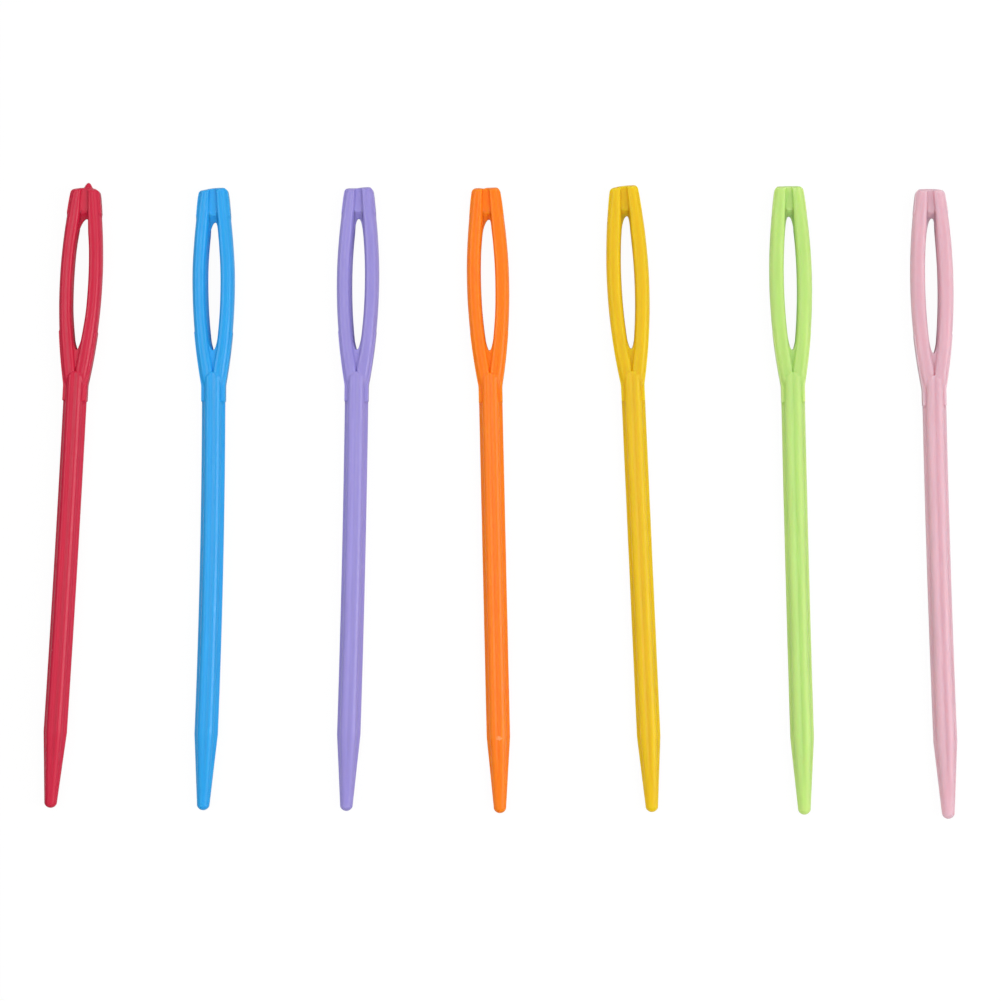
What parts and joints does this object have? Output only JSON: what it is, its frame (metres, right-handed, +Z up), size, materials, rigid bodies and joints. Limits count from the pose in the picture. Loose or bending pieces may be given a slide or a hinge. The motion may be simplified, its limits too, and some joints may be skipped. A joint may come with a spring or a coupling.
{
  "type": "yarn needle set",
  "caption": "Blunt plastic yarn needles in assorted colours, laid side by side; each is a fluted shaft that splits into strands round a long eye.",
  "frame": {"origin": "middle of the row of needles, on the surface that they lie on", "axes": "+Z up from the surface, +Y towards the heads along the needles, +X across the row from the red needle to the pink one"},
  "size_m": [0.1316, 0.0917, 0.0031],
  "materials": {
    "red_plastic": "satin",
    "blue_plastic": "satin",
    "purple_plastic": "satin",
    "orange_plastic": "satin",
    "yellow_plastic": "satin",
    "green_plastic": "satin",
    "pink_plastic": "satin"
  },
  "bodies": {
    "root": {"red_needle": "red_plastic", "blue_needle": "blue_plastic", "purple_needle": "purple_plastic", "orange_needle": "orange_plastic", "yellow_needle": "yellow_plastic", "green_needle": "green_plastic", "pink_needle": "pink_plastic"}
  },
  "joints": []
}
